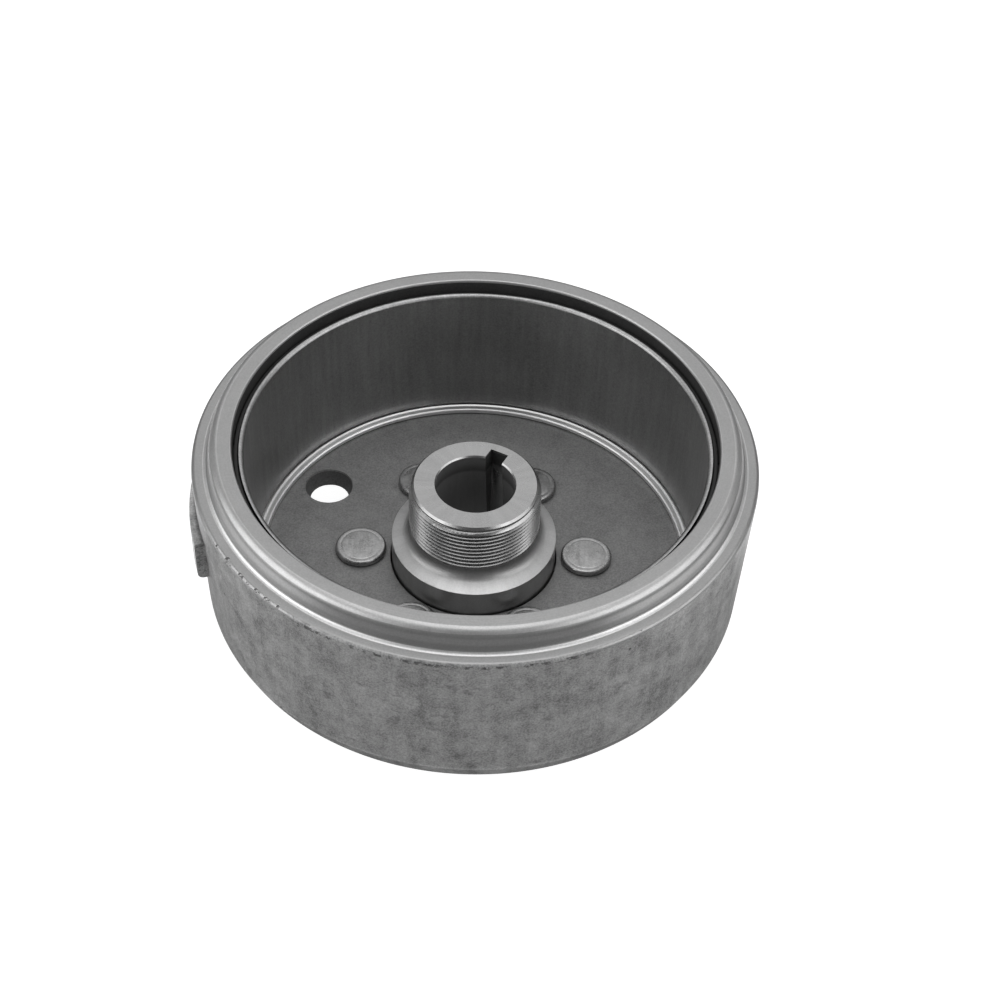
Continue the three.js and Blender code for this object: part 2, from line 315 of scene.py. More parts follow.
class Value:
    """A shader socket that takes part in arithmetic and adds its own Math nodes."""

    def __init__(self, shader: "Shader", socket: bpy.types.NodeSocket) -> None:
        """Wraps an output socket of a shader's node."""
        self.shader = shader
        self.socket = socket

    def math(self, operation: str, *others: "Value | float", clamp: bool = False) -> "Value":
        """Adds a Math node.

        Args:
            operation: The Math node's operation.
            *others: Its second and third inputs.
            clamp: Keeps the result between 0 and 1.

        Returns:
            The node's result.
        """
        settings = {"operation": operation, "use_clamp": clamp}
        return self.shader.node("ShaderNodeMath", settings, dict(enumerate([self, *others])))

    def __add__(self, other: "Value | float") -> "Value":
        """The sum."""
        return self.math("ADD", other)

    def __mul__(self, other: "Value | float") -> "Value":
        """The product."""
        return self.math("MULTIPLY", other)

    def __sub__(self, other: "Value | float") -> "Value":
        """The difference."""
        return self.math("SUBTRACT", other)

    def __rsub__(self, other: float) -> "Value":
        """The difference the other way round."""
        return (self * -1) + other

    __radd__ = __add__
    __rmul__ = __mul__

    def limited(self) -> "Value":
        """The value kept between 0 and 1."""
        return self.math("ADD", 0.0, clamp=True)

    def rise(self, low: float, high: float) -> "Value":
        """0 below a lower bound and 1 above an upper one, with a smooth step between."""
        settings = {"interpolation_type": "SMOOTHSTEP"}
        sockets = {"Value": self, "From Min": low, "From Max": high}
        return self.shader.node("ShaderNodeMapRange", settings, sockets)

    def band(self, low: float, high: float, soft: float) -> "Value":
        """1 between two bounds, fading to 0 over a soft edge outside each."""
        return self.rise(low - soft, low) * (1 - self.rise(high, high + soft))


class Shader:
    """One procedural material, built round a Principled BSDF."""

    def __init__(self, name: str) -> None:
        """Makes an empty material with its shader and output."""
        self.material = bpy.data.materials.new(name)
        self.material.use_nodes = True
        self.tree = self.material.node_tree
        self.tree.nodes.clear()
        self.surface = self.tree.nodes.new("ShaderNodeBsdfPrincipled")
        output = self.tree.nodes.new("ShaderNodeOutputMaterial")
        self.tree.links.new(self.surface.outputs["BSDF"], output.inputs["Surface"])
        self.place = self.node("ShaderNodeTexCoord", {}, {}, "Object")
        parts = self.tree.nodes.new("ShaderNodeSeparateXYZ")
        self.tree.links.new(self.place.socket, parts.inputs[0])
        self.x, self.y, self.z = (Value(self, parts.outputs[axis]) for axis in "XYZ")
        self.r = (self.x * self.x + self.y * self.y).math("POWER", 0.5)

    def node(
        self,
        kind: str,
        settings: dict[str, Any],
        sockets: dict[str | int, Any],
        output: str | int = 0,
    ) -> Value:
        """Adds a node.

        Args:
            kind: The node's type.
            settings: Its settings, made before its sockets are filled.
            sockets: The value or link of each input, by name or number.
            output: The output that is wanted.

        Returns:
            The wanted output.
        """
        made = self.tree.nodes.new(kind)
        for key, setting in settings.items():
            setattr(made, key, setting)
        for key, content in sockets.items():
            self.fill(made.inputs[key], content)
        return Value(self, made.outputs[output])

    def fill(self, socket: bpy.types.NodeSocket, content: Any) -> None:
        """Links a value to a socket, or sets a constant on it."""
        if isinstance(content, Value):
            self.tree.links.new(content.socket, socket)
        else:
            socket.default_value = content

    def vector(self, x: Value | float, y: Value | float, z: Value | float) -> Value:
        """A vector of three values."""
        return self.node("ShaderNodeCombineXYZ", {}, {"X": x, "Y": y, "Z": z})

    def stretched(self, x: float, y: float, z: float) -> Value:
        """The object's coordinates, each multiplied by its own factor."""
        scale = {0: self.place, 1: (x, y, z)}
        return self.node("ShaderNodeVectorMath", {"operation": "MULTIPLY"}, scale)

    def noise(
        self, cell: float, detail: float = 2.0, rough: float = 0.5, where: Value | None = None
    ) -> Value:
        """Cloudy noise.

        Args:
            cell: Size of its clouds in metres.
            detail: Finer layers added to it.
            rough: How strong the finer layers are.
            where: Coordinates; the object's own by default.

        Returns:
            The noise, about 0.5 on average.
        """
        sockets = {
            "Vector": where or self.place,
            "Scale": 1 / cell,
            "Detail": detail,
            "Roughness": rough,
        }
        return self.node("ShaderNodeTexNoise", {}, sockets, "Fac")

    def specks(self, cell: float, size: float) -> Value:
        """Small round spots, one at most in each cell of a size in metres.

        Args:
            cell: Distance between the spots.
            size: A spot's radius as a share of the cell.

        Returns:
            1 inside a spot and 0 outside.
        """
        sockets = {"Vector": self.place, "Scale": 1 / cell, "Randomness": 1.0}
        distance = self.node("ShaderNodeTexVoronoi", {}, sockets, "Distance")
        return 1 - distance.rise(size * 0.5, size)

    def lathe_marks(self, pitch: float) -> Value:
        """Fine rings left by a turning tool, round the axis on faces and on walls alike."""
        slow = 0.02
        along = self.vector(self.r + self.x * slow, self.z + self.y * slow, 0.0)
        return self.noise(pitch, 3.0, 0.65, along)

    def bearing(self, direction: float) -> Value:
        """The angle round the axis from a direction, both in radians, between -pi and pi."""
        east, north = math.cos(direction), math.sin(direction)
        return (self.y * east - self.x * north).math("ARCTAN2", self.x * east + self.y * north)

    def grey(self, level: Value | float) -> Value:
        """A neutral grey of a given level."""
        sockets = {MIX_FACTOR: level, MIX_FIRST: (0, 0, 0, 1), MIX_SECOND: (1, 1, 1, 1)}
        return self.node("ShaderNodeMix", {"data_type": "RGBA"}, sockets, MIX_RESULT)

    def bump(self, height: Value, depth: float) -> Value:
        """A Bump node.

        Args:
            height: The pattern, from 0 to 1.
            depth: Height in metres of the pattern's whole range.

        Returns:
            The bent normal.
        """
        sockets = {"Strength": 1.0, "Distance": depth, "Height": height}
        return self.node("ShaderNodeBump", {}, sockets)

    def finish(self, **sockets: Any) -> bpy.types.Material:
        """Fills the Principled BSDF's sockets, named with _ for each space."""
        for key, content in sockets.items():
            self.fill(self.surface.inputs[key.replace("_", " ")], content)
        return self.material


# ---- Finishes ---------------------------------------------------------------------------------


@dataclass(frozen=True)
class DrumHeights:
    """The heights and radii at which the drum's finish changes."""

    rim_top: float
    ledge: float
    crease: float
    floor: float
    base: float
    inside: float
    rim_bore: float
    lug_top: float
    lug_bottom: float
    lug_end: float
    wall: float


@dataclass(frozen=True)
class DrumSteel:
    """Forged steel: a mottled, blasted wall, and turned faces at its rim and step."""

    wall_grey: float = 0.345
    turned_grey: float = 0.42
    floor_grey: float = 0.29
    # near-black grey of the rim's bore, painted shade
    bore_shade_grey: float = 0.06
    wall_rough: float = 0.50
    turned_rough: float = 0.38
    floor_rough: float = 0.55
    skin_middle: float = math.radians(265)  # the ledge's edge kept its forging skin round here
    skin_reach: float = math.radians(27)

    def wall_pattern(self, s: Shader, at: DrumHeights) -> Value:
        """The forged skin: clouds, upright streaks, stains and pits, with a painted crease highlight and
        painted shade below it and at the foot.
        """
        clouds = s.noise(11 * MM, 4.0, 0.62)
        mottle = s.noise(2.8 * MM, 3.0, 0.7)
        streaks = s.noise(2.2 * MM, 3.0, 0.6, s.stretched(1, 1, 0.14))
        grain = s.noise(0.36 * MM, 2.0, 0.6)
        stains = s.noise(4.5 * MM, 3.0, 0.65, s.stretched(1, 1, 1.8)).rise(0.58, 0.72)
        pits = s.specks(9 * MM, 0.05)
        # painted highlight: a lighter band along the base chamfer's crease
        crease = s.z.band(at.crease - 0.2 * MM, at.crease + 0.2 * MM, 0.35 * MM)
        # painted shade: darker towards the bottom edge
        foot = 1 - s.z.rise(at.base + 0.3 * MM, at.base + 1.3 * MM)
        # painted shade: the chamfer below the crease made darker
        below = 1 - s.z.rise(at.crease - 0.3 * MM, at.crease)
        wall = (clouds - 0.5) * 1.05 + (mottle - 0.5) * 0.85 + (streaks - 0.5) * 0.65
        wall = wall + (grain - 0.5) * 1.5 + 1
        wall = wall * (1 - stains * 0.30) * (1 - pits * 0.7)
        return wall * (1 + crease * 0.22) * (1 - below * 0.16) * (1 - foot * 0.55)

    def lug_shade(self, s: Shader, at: DrumHeights) -> Value:
        """Painted shade along the lug's root, and painted shade with dark scale blotches on its sheared end.
        """
        angle = s.bearing(at.lug_end)
        rough_edge = (s.noise(1.1 * MM, 3.0, 0.7) - 0.5) * 0.5 * MM
        height = s.z + rough_edge
        # the sheared end: light painted shade, plus scabs as dark scale blotches
        end = angle.band(-0.006, 0.016, 0.004) * height.band(at.lug_bottom, at.lug_top, 0.2 * MM)
        widen = 0.9 * MM
        # painted shade in the corner along the lug's top
        near = angle.rise(-0.40, 0.0) * (1 - angle.rise(0.016, 0.022))
        root = near * height.band(at.lug_top - 0.1 * MM, at.lug_top + widen, 0.25 * MM)
        scabs = s.noise(1.3 * MM, 3.0, 0.7).rise(0.50, 0.60)
        return (end * (0.10 + scabs * 0.6) + root * 0.75).limited()

    def painted_lug_light(self, s: Shader, at: DrumHeights) -> Value:
        """Painted light on the lug's outer face, making it lighter than the wall."""
        # painted light: the lug's outer face made lighter
        proud = s.r.rise(at.wall - 0.1 * MM, at.wall + 0.5 * MM)
        return proud * (1 - s.bearing(at.lug_end).rise(-0.014, -0.006))

    def forging_skin(self, s: Shader) -> Value:
        """1 in the sector where the ledge's edge kept its forging skin."""
        angle = s.bearing(self.skin_middle)
        return angle.band(-self.skin_reach, self.skin_reach, math.radians(5))

    def ledge_line(self, s: Shader, at: DrumHeights) -> Value:
        """A broken dark line just under the ledge, in the sector of forging skin."""
        broken = s.noise(1.4 * MM, 3.0, 0.7, s.stretched(1, 1, 1.6)).rise(0.47, 0.58)
        line = s.z.band(at.ledge - 0.95 * MM, at.ledge - 0.45 * MM, 0.15 * MM)
        outside = s.r.rise(at.wall - 1.5 * MM, at.wall - 1.2 * MM)
        return line * self.forging_skin(s) * broken * outside

    def turned_rings_and_highlights(self, s: Shader, at: DrumHeights) -> Value:
        """The turned rim and step: fine rings, with painted highlights on the spigot's waist, in the step's
        fillet and on the rim's rounding.
        """
        clouds = s.noise(9 * MM, 4.0, 0.62)
        grain = s.noise(0.36 * MM, 2.0, 0.6)
        marks = s.lathe_marks(0.20 * MM)
        rings = (marks - 0.5) * 0.20 + (clouds - 0.5) * 0.16 + (grain - 0.5) * 0.34 + 1
        middle = (at.ledge + at.rim_top) / 2
        # waist: a painted highlight band round the middle of the spigot
        waist = s.z.band(middle - 0.3 * MM, middle + 0.3 * MM, 0.7 * MM)
        # step: a painted highlight line in the fillet at the spigot's foot
        step = s.z.band(at.ledge + 0.04 * MM, at.ledge + 0.4 * MM, 0.03 * MM)
        # a painted highlight on the rim's outer rounding
        shoulder_highlight = s.z.band(at.rim_top - 0.8 * MM, at.rim_top - 0.03 * MM, 0.02 * MM)
        return rings * (1 + waist * 0.22) * (1 + step * 0.9) * (1 + shoulder_highlight * 0.35)

    def plate_pattern(self, s: Shader, at: DrumHeights) -> Value:
        """The blasted floor, with painted shade inside its holes."""
        clouds = s.noise(9 * MM, 4.0, 0.62)
        mottle = s.noise(2.4 * MM, 3.0, 0.7)
        grain = s.noise(0.36 * MM, 2.0, 0.6)
        # painted shade on the walls of the holes through the floor
        hole_shade = s.z.band(at.base + 0.5 * MM, at.floor - 0.5 * MM, 0.25 * MM)
        plate = (clouds - 0.5) * 0.50 + (grain - 0.5) * 1.0 + (mottle - 0.5) * 0.45 + 1
        return plate * (1 - hole_shade * 0.5)

    def material(self, at: DrumHeights) -> bpy.types.Material:
        """Builds the material.

        Args:
            at: Where the finish changes.

        Returns:
            The material.
        """
        s = Shader("drum_forged_steel")
        ledge_top = s.z.rise(at.ledge - 0.12 * MM, at.ledge - 0.04 * MM)
        turned = s.z.rise(at.ledge - 0.75 * MM, at.ledge - 0.55 * MM)
        turned = turned * (1 - self.forging_skin(s) * (1 - ledge_top))
        low = 1 - s.z.rise(at.floor + MM, at.floor + 2 * MM)
        on_floor = low * (1 - s.r.rise(at.inside - MM, at.inside))
        # painted shade: the rim's bore below its chamfer made near-black, matt and less metallic
        shaded_rim_bore = 1 - s.r.rise(at.rim_bore + 0.05 * MM, at.rim_bore + 0.2 * MM)
        shaded_rim_bore = shaded_rim_bore * (1 - s.z.rise(at.rim_top - 0.65 * MM, at.rim_top - 0.45 * MM))
        shaded_rim_bore = shaded_rim_bore * s.z.rise(at.rim_top - 7 * MM, at.rim_top - 6 * MM)
        mottle = s.noise(2.4 * MM, 3.0, 0.7)
        grain = s.noise(0.36 * MM, 2.0, 0.6)
        wall = self.wall_pattern(s, at) * (1 - self.ledge_line(s, at) * 0.62)
        # painted shade at the lug's root and end, and painted light on its outer face
        wall = wall * (1 - self.lug_shade(s, at) * 0.62) * (1 + self.painted_lug_light(s, at) * 0.9)
        plate = self.plate_pattern(s, at)
        level = wall * self.wall_grey * (1 - turned)
        level = level + self.turned_rings_and_highlights(s, at) * self.turned_grey * turned
        level = level * (1 - on_floor) + plate * self.floor_grey * on_floor
        level = level * (1 - shaded_rim_bore) + plate * self.bore_shade_grey * shaded_rim_bore
        rough = (1 - turned) * self.wall_rough + turned * self.turned_rough
        rough = rough * (1 - on_floor) + on_floor * self.floor_rough
        rough = rough + (mottle - 0.5) * 0.16 + shaded_rim_bore * 0.25
        height = (mottle * 0.5 + grain * 0.35) * (1 - turned) + grain * turned * 0.05
        return s.finish(
            Base_Color=s.grey(level),
            Metallic=0.45 + turned * 0.33 - shaded_rim_bore * 0.3,
            Roughness=rough,
            Normal=s.bump(height, 0.06 * MM),
        )


@dataclass(frozen=True)
class HubSteel:
    """Bright turned steel with fine rings from the tool."""

    grey: float = 0.46
    # the bore and keyway greys are painted shade in those recesses
    bore_shade_grey: float = 0.15
    keyway_shade_grey: float = 0.06
    collar_grey: float = 0.46
    rough: float = 0.27

    def material(
        self, mouth: float, bore: float, face: float, neck: float, collar: float
    ) -> bpy.types.Material:
        """Builds the material.

        Args:
            mouth: Radius of the bore at the face; the keyway lies outside it.
            bore: Radius within which the bore and keyway lie, darkened with painted shade.
            face: Height of the hub's face.
            neck: Height below which the softer neck and collar lie.
            collar: Radius outside which the collar's wall lies.

        Returns:
            The material.
        """
        s = Shader("hub_turned_steel")
        marks = s.lathe_marks(0.16 * MM)
        clouds = s.noise(6 * MM, 3.0)
        grain = s.noise(0.34 * MM, 2.0, 0.6)
        sheen = s.noise(0.16, 3.0, 0.7, s.vector(s.bearing(0.0), s.z * 6, s.r * 6))
        inner = 1 - s.r.rise(bore, bore + 0.1 * MM)
        # painted shade down the bore and keyway
        shaded_bore = (1 - s.z.rise(face - 0.55 * MM, face - 0.35 * MM)) * inner
        wall = s.r.rise(collar - 0.06 * MM, collar - 0.01 * MM)
        slot = s.r.rise(mouth + 0.1 * MM, mouth + 0.5 * MM) * s.z.rise(face - 5 * MM, face - 4 * MM)
        soft = 1 - s.z.rise(neck - 0.4 * MM, neck)
        dark = self.bore_shade_grey * (1 - slot) + self.keyway_shade_grey * slot
        grey = self.grey * (1 - shaded_bore) + dark * shaded_bore
        grey = grey * (1 - wall) + self.collar_grey * wall
        # painted highlight on the collar's sloped top, growing towards its edge
        slope = soft * (1 - shaded_bore) * (1 - wall) * s.r.rise(collar - 3.8 * MM, collar - 0.8 * MM)
        grey = grey * (1 + slope * 0.5)
        tone = (marks - 0.5) * 0.10 + (clouds - 0.5) * 0.14
        tone = tone + (grain - 0.5) * 0.26 + (sheen - 0.5) * 0.30
        return s.finish(
            Base_Color=s.grey((tone + 1) * grey),
            Metallic=1.0 - shaded_bore * 0.6,
            Roughness=self.rough + (clouds - 0.5) * 0.10 + shaded_bore * 0.42 + soft * (1 - shaded_bore) * 0.13,
            Normal=s.bump(marks * 0.3 + grain * 0.7, 0.003 * MM),
        )


@dataclass(frozen=True)
class SleeveSteel:
    """Drawn sheet steel, dark and satin, with faint rings from the drawing die."""

    grey: float = 0.31
    lip_grey: float = 0.48
    rough: float = 0.40

    def material(self, lip: float) -> bpy.types.Material:
        """Builds the material.

        Args:
            lip: Height above which the sheet's cut edge is bare and bright.

        Returns:
            The material.
        """
        s = Shader("sleeve_drawn_steel")
        clouds = s.noise(16 * MM, 3.0)
        grain = s.noise(0.42 * MM, 2.0, 0.6)
        draw = s.noise(1.5 * MM, 3.0, 0.6, s.stretched(1, 1, 0.08))
        bare = s.z.rise(lip, lip + 0.08 * MM)
        level = (clouds - 0.5) * 0.40 + (grain - 0.5) * 0.80 + (draw - 0.5) * 0.50 + 1
        grey = self.grey * (1 - bare) + self.lip_grey * bare
        return s.finish(
            Base_Color=s.grey(level * grey),
            Metallic=1.0,
            Roughness=self.rough + (clouds - 0.5) * 0.12 + (grain - 0.5) * 0.06,
            Normal=s.bump(grain * 0.6 + draw * 0.4, 0.014 * MM),
        )


@dataclass(frozen=True)
class SeatMetal:
    """Turned light metal of the ring at the sleeve's foot."""

    grey: float = 0.85
    # grey of the painted edge highlights
    edge_highlight_grey: float = 0.95
    rough: float = 0.40

    def material(self, inner: float, outer: float) -> bpy.types.Material:
        """Builds the material.

        Args:
            inner: Radius of the bead's inner edge.
            outer: Radius of the bead's outer edge.

        Returns:
            The material.
        """
        s = Shader("seat_ring_metal")
        marks = s.lathe_marks(0.14 * MM)
        clouds = s.noise(5 * MM, 3.0)
        # painted highlights: lighter bands along the bead's inner and outer edges
        edge_highlight = 1 - s.r.rise(inner + 0.35 * MM, inner + 0.45 * MM)
        edge_highlight = edge_highlight + s.r.rise(outer - 0.55 * MM, outer - 0.45 * MM)
        grey = self.grey * (1 - edge_highlight) + self.edge_highlight_grey * edge_highlight
        level = ((marks - 0.5) * 0.20 + (clouds - 0.5) * 0.20 + 1) * grey
        return s.finish(
            Base_Color=s.grey(level),
            Metallic=1.0,
            Roughness=self.rough + (clouds - 0.5) * 0.1,
            Normal=s.bump(marks, 0.005 * MM),
        )


@dataclass(frozen=True)
class RivetSteel:
    """Upset steel heads, cloudy, grainy and scratched."""

    grey: float = 0.41
    rough: float = 0.29

    def material(self) -> bpy.types.Material:
        """Builds the material."""
        s = Shader("rivet_upset_steel")
        clouds = s.noise(2.8 * MM, 4.0, 0.6)
        grain = s.noise(0.35 * MM, 2.0)
        scratches = s.noise(0.7 * MM, 2.0, 0.6, s.stretched(1, 0.15, 1))
        level = (clouds - 0.5) * 1.1 + (grain - 0.5) * 0.55 + (scratches - 0.5) * 0.40 + 1
        return s.finish(
            Base_Color=s.grey(level * self.grey),
            Metallic=1.0,
            Roughness=self.rough + (clouds - 0.5) * 0.22,
            Normal=s.bump(clouds * 0.6 + grain * 0.4, 0.02 * MM),
        )


@dataclass(frozen=True)
class MagnetIron:
    """Dark, sintered magnet material with ground faces."""

    grey: float = 0.10
    rough: float = 0.6

    def material(self) -> bpy.types.Material:
        """Builds the material."""
        s = Shader("magnet_sintered")
        grain = s.noise(0.5 * MM, 3.0, 0.7)
        ground = s.noise(0.8 * MM, 2.0, 0.5, s.stretched(0.1, 0.1, 1))
        level = ((grain - 0.5) * 0.5 + (ground - 0.5) * 0.3 + 1) * self.grey
        return s.finish(
            Base_Color=s.grey(level),
            Metallic=0.6,
            Roughness=self.rough + (grain - 0.5) * 0.2,
            Normal=s.bump(grain, 0.02 * MM),
        )


@dataclass(frozen=True)
class DarkResin:
    """Potting resin round the magnets, nearly black, with small voids."""

    grey: float = 0.022
    rough: float = 0.55

    def material(self) -> bpy.types.Material:
        """Builds the material."""
        s = Shader("potting_resin")
        swell = s.noise(2.5 * MM, 3.0)
        voids = s.specks(1.6 * MM, 0.16)
        level = ((swell - 0.5) * 0.6 + 1) * self.grey * (1 - voids * 0.6)
        return s.finish(
            Base_Color=s.grey(level),
            Metallic=0.0,
            Roughness=self.rough + (swell - 0.5) * 0.25,
            Normal=s.bump(swell * 0.7 - voids * 0.5, 0.06 * MM),
        )


# ---- Drum -------------------------------------------------------------------------------------


@dataclass
class Drum:
    """The forged drum, its turned rim and step, its holes and its trigger lug."""

    wall_radius: float = 56.2 * MM
    draft: float = 1.0 * MM
    wall: float = 4.9 * MM
    floor_thickness: float = 5.1 * MM
    base_chamfer_height: float = 3.9 * MM
    base_chamfer_depth: float = 1.6 * MM
    base_corner: float = 0.8 * MM
    crease: float = 0.6 * MM
    ledge_width: float = 3.0 * MM
    ledge_edge: float = 0.9 * MM
    spigot_height: float = 4.6 * MM
    spigot_taper: float = 1.0 * MM
    spigot_fillet: float = 0.9 * MM
    rim_round: float = 1.6 * MM
    rim_chamfer: float = 0.4 * MM
    rim_thickness: float = 4.0 * MM
    rim_bore_radius: float = 48.0 * MM
    edge_break: float = 0.2 * MM
    collar_hole_radius: float = 17.4 * MM
    hole_radius: float = 5.15 * MM
    hole_waist: float = 4.2 * MM
    hole_waist_height: float = 1.3 * MM
    hole_pitch: float = 37.1 * MM
    hole_angle: float = math.radians(150)
    lug_radius: float = 57.9 * MM
    lug_height: float = 9.0 * MM
    lug_drop: float = 13.0 * MM
    lug_start: float = math.radians(160)
    lug_end: float = math.radians(202.5)
    lug_root: float = 2.4 * MM
    lug_round: float = 0.8 * MM
    nicks: tuple[tuple[float, float], ...] = (  # angle in degrees and radius in millimetres
        (197.5, 0.25), (211.8, 0.50), (216.0, 0.75), (217.2, 0.45), (220.8, 0.55), (221.6, 0.40),
        (223.4, 0.45), (225.9, 0.52), (226.8, 0.36), (228.8, 0.50), (229.7, 0.40), (231.9, 0.42),
        (233.2, 0.30), (236.0, 0.26), (304.5, 0.22), (313.6, 0.30),
    )
    finish: DrumSteel = field(default_factory=DrumSteel)

    def __post_init__(self) -> None:
        """Takes the drum's heights from the frame."""
        low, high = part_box("drum")
        self.base = low.z
        self.rim_top = high.z
        self.floor = self.base + self.floor_thickness
        self.ledge = self.rim_top - self.spigot_height
        self.pocket_top = self.rim_top - self.rim_thickness
        self.pocket_radius = self.wall_radius - self.wall
        self.lug_top = self.rim_top - self.lug_drop

    def outline(self) -> list[Corner]:
        """The drum's section."""
        wall_foot = self.wall_radius - self.draft
        base_radius = wall_foot - self.base_chamfer_depth
        crease_height = self.base + self.base_chamfer_height
        spigot_foot = self.wall_radius - self.ledge_width
        return [
            Corner(self.collar_hole_radius, self.base, self.edge_break, 2),
            Corner(base_radius, self.base, self.base_corner),
            Corner(wall_foot, crease_height, self.crease, 4),
            Corner(self.wall_radius, self.ledge, self.ledge_edge, 5),
            Corner(spigot_foot, self.ledge, self.spigot_fillet, 5),
            Corner(spigot_foot - self.spigot_taper, self.rim_top, self.rim_round, 7),
            Corner(self.rim_bore_radius, self.rim_top, self.rim_chamfer, 3),
            Corner(self.rim_bore_radius, self.pocket_top, self.edge_break, 2),
            Corner(self.pocket_radius, self.pocket_top),
            Corner(self.pocket_radius, self.floor, self.edge_break, 2),
            Corner(self.collar_hole_radius, self.floor, self.edge_break, 2),
        ]

    def lug(self) -> bmesh.types.BMesh:
        """The trigger lug, which climbs out of the drafted wall and ends in a square step.

        Returns:
            A closed bmesh, sunk into the wall.
        """
        bottom = self.lug_top - self.lug_height
        inner = self.wall_radius - self.lug_root
        section = [
            Corner(inner, bottom),
            Corner(self.lug_radius, bottom, self.lug_round * 1.7, 6),
            Corner(self.lug_radius, self.lug_top, self.lug_round * 0.5, 4),
            Corner(inner, self.lug_top),
        ]
        mesh = swept(section, self.lug_start, self.lug_end, Fineness.LARGE)
        rise = self.lug_radius - self.wall_radius + self.draft / 2
        for vert in mesh.verts:
            angle = math.atan2(vert.co.y, vert.co.x) % FULL_TURN
            share = (angle - self.lug_start) / (self.lug_end - self.lug_start)
            flat = Vector((vert.co.x, vert.co.y, 0))
            vert.co -= flat.normalized() * (1 - share) * rise
        return mesh

    def chips(self) -> bmesh.types.BMesh:
        """Small cutters for the nicks knocked out of the ledge's outer edge."""
        result = bmesh.new()
        for number, (degrees, size) in enumerate(self.nicks):
            nick = bmesh.ops.create_icosphere(result, subdivisions=2, radius=size * MM)["verts"]
            along, upright = 1.3 - 0.25 * (number % 3), 0.8 + 0.2 * (number % 2)
            shape = Matrix.Diagonal((1, along, upright))
            turn = Matrix.Rotation(math.radians(degrees), 3, "Z")
            bmesh.ops.transform(result, matrix=(turn @ shape).to_4x4(), verts=nick)
            inset = (0.14 + 0.08 * (number % 3)) * MM
            place = polar(self.wall_radius - inset, math.radians(degrees))
            place.z = self.ledge - inset * 0.5
            bmesh.ops.translate(result, vec=place, verts=nick)
        return result

    def balance_hole(self, low: float, high: float) -> bmesh.types.BMesh:
        """The balance hole's cutter between two heights, with its waist near the rear."""
        waist = self.base + self.hole_waist_height
        hole = turned(
            [
                Corner(0, low),
                Corner(self.hole_waist + waist - low, low),
                Corner(self.hole_waist, waist),
                Corner(self.hole_radius, self.floor),
                Corner(self.hole_radius, high),
                Corner(0, high),
            ],
            Fineness.SMALL,
        )
        return copies(hole, [polar(self.hole_pitch, self.hole_angle)])

    def build(self, rivets: "Rivets") -> bpy.types.Object:
        """Builds the drum and dresses it.

        Args:
            rivets: The rivets, whose holes go through the floor.

        Returns:
            The drum.
        """
        low, high = self.base - MM, self.floor + MM
        mesh = combined(turned(self.outline(), Fineness.LARGE), self.lug(), "UNION")
        mesh = combined(mesh, self.chips(), "DIFFERENCE")
        mesh = combined(mesh, self.balance_hole(low, high), "DIFFERENCE")
        mesh = combined(mesh, rivets.clearance(low, high), "DIFFERENCE")
        at = DrumHeights(
            rim_top=self.rim_top,
            ledge=self.ledge,
            crease=self.base + self.base_chamfer_height,
            floor=self.floor,
            base=self.base,
            inside=self.pocket_radius,
            rim_bore=self.rim_bore_radius,
            lug_top=self.lug_top,
            lug_bottom=self.lug_top - self.lug_height,
            lug_end=self.lug_end,
            wall=self.wall_radius,
        )
        finish = self.finish.material(at)
        return piece("drum_body", mesh, finish, "drum_steel", "drum")


# ---- Hub --------------------------------------------------------------------------------------


